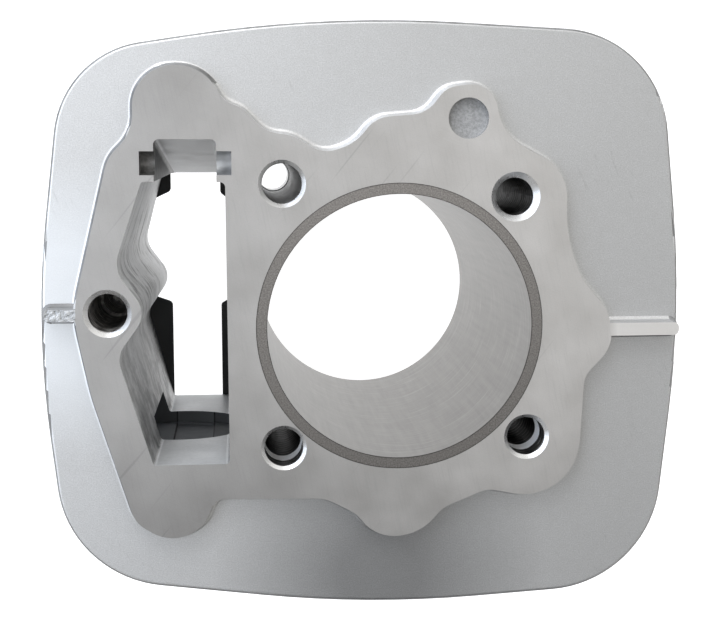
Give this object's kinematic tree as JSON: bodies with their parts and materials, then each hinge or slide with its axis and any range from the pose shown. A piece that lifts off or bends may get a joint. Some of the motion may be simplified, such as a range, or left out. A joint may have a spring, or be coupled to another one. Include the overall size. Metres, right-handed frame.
{
  "type": "engine cylinder barrel",
  "caption": "Finned cylinder barrel of a small air-cooled engine: lined bore, stud holes, chain tunnel beside the bore, flat deck, and a spigot, gasket and dowels at the base.",
  "frame": {"origin": "on the bore axis, in the plane of the deck face", "axes": "+Z along the bore axis, out of the deck towards the cylinder head; +X away from the chain tunnel; +Y towards the front of the engine"},
  "size_m": [0.1542, 0.1417, 0.103],
  "materials": {
    "cast_aluminium": "silver-painted casting, machined deck",
    "liner_iron": "honed bore, faced end",
    "gasket_sheet": "matte black coated sheet",
    "dowel_steel": "turned"
  },
  "bodies": {
    "root": {"cylinder_casting": "cast_aluminium", "cylinder_liner": "liner_iron", "base_gasket": "gasket_sheet", "base_dowel_front_left": "dowel_steel", "base_dowel_rear_right": "dowel_steel"}
  },
  "joints": []
}
